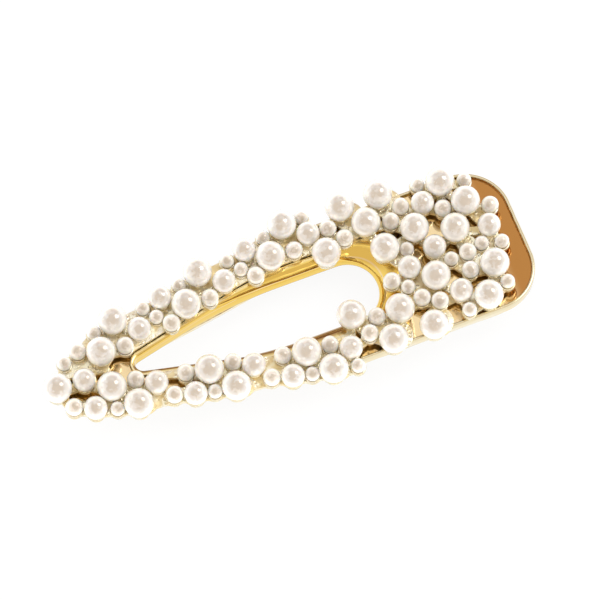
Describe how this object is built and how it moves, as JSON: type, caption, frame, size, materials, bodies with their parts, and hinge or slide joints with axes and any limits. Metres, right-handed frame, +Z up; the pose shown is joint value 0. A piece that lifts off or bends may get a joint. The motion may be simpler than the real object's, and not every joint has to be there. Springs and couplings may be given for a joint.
{
  "type": "hair barrette",
  "caption": "Teardrop metal hair clip with an open window, an openwork casting set with faux pearls of four sizes, and a sprung lower jaw worked by a thumb lever.",
  "frame": {"origin": "centre of the footprint on the table, pearls up", "axes": "+X along the clip from the narrow tip to the thumb end, +Y across, +Z up through the pearls"},
  "size_m": [0.0854, 0.0323, 0.0134],
  "materials": {
    "polished_gold": "mirror polished gold plate",
    "cast_gold": "pale cast gold plate, lightly pitted",
    "cup_gold": "pale gold plate",
    "bracket_gold": "satin gold plate",
    "pin_steel": "gold flashed steel",
    "spring_steel": "bright spring wire",
    "jaw_gold": "polished gold plate",
    "pearl_large": "faux pearl nacre lacquer",
    "pearl_medium": "faux pearl nacre lacquer",
    "pearl_small": "faux pearl nacre lacquer",
    "pearl_seed": "faux pearl nacre lacquer"
  },
  "bodies": {
    "upper_jaw": {"top_shell": "polished_gold", "pearl_lattice": "cast_gold", "pearl_cups": "cup_gold", "tip_large": "pearl_large", "tip_medium": "pearl_medium", "tip_small": "pearl_small", "tip_seed": "pearl_seed", "far_arm_large": "pearl_large", "far_arm_medium": "pearl_medium", "far_arm_small": "pearl_small", "far_arm_seed": "pearl_seed", "near_arm_large": "pearl_large", "near_arm_medium": "pearl_medium", "near_arm_small": "pearl_small", "near_arm_seed": "pearl_seed", "head_large": "pearl_large", "head_medium": "pearl_medium", "head_small": "pearl_small", "head_seed": "pearl_seed", "hinge_bracket": "bracket_gold", "hinge_pin": "pin_steel", "torsion_spring": "spring_steel"},
    "lower_jaw": {"lower_jaw": "jaw_gold"}
  },
  "joints": [
    {"name": "jaw_hinge", "type": "hinge", "parent": "upper_jaw", "child": "lower_jaw", "pos_m": [0.0247, 0, 0.0035], "axis": [0, -1, 0], "range_deg": [0, 18], "stiffness_Nm_per_rad": 0.1, "springref_deg": -20.05, "deforming": ["torsion_spring"]}
  ]
}
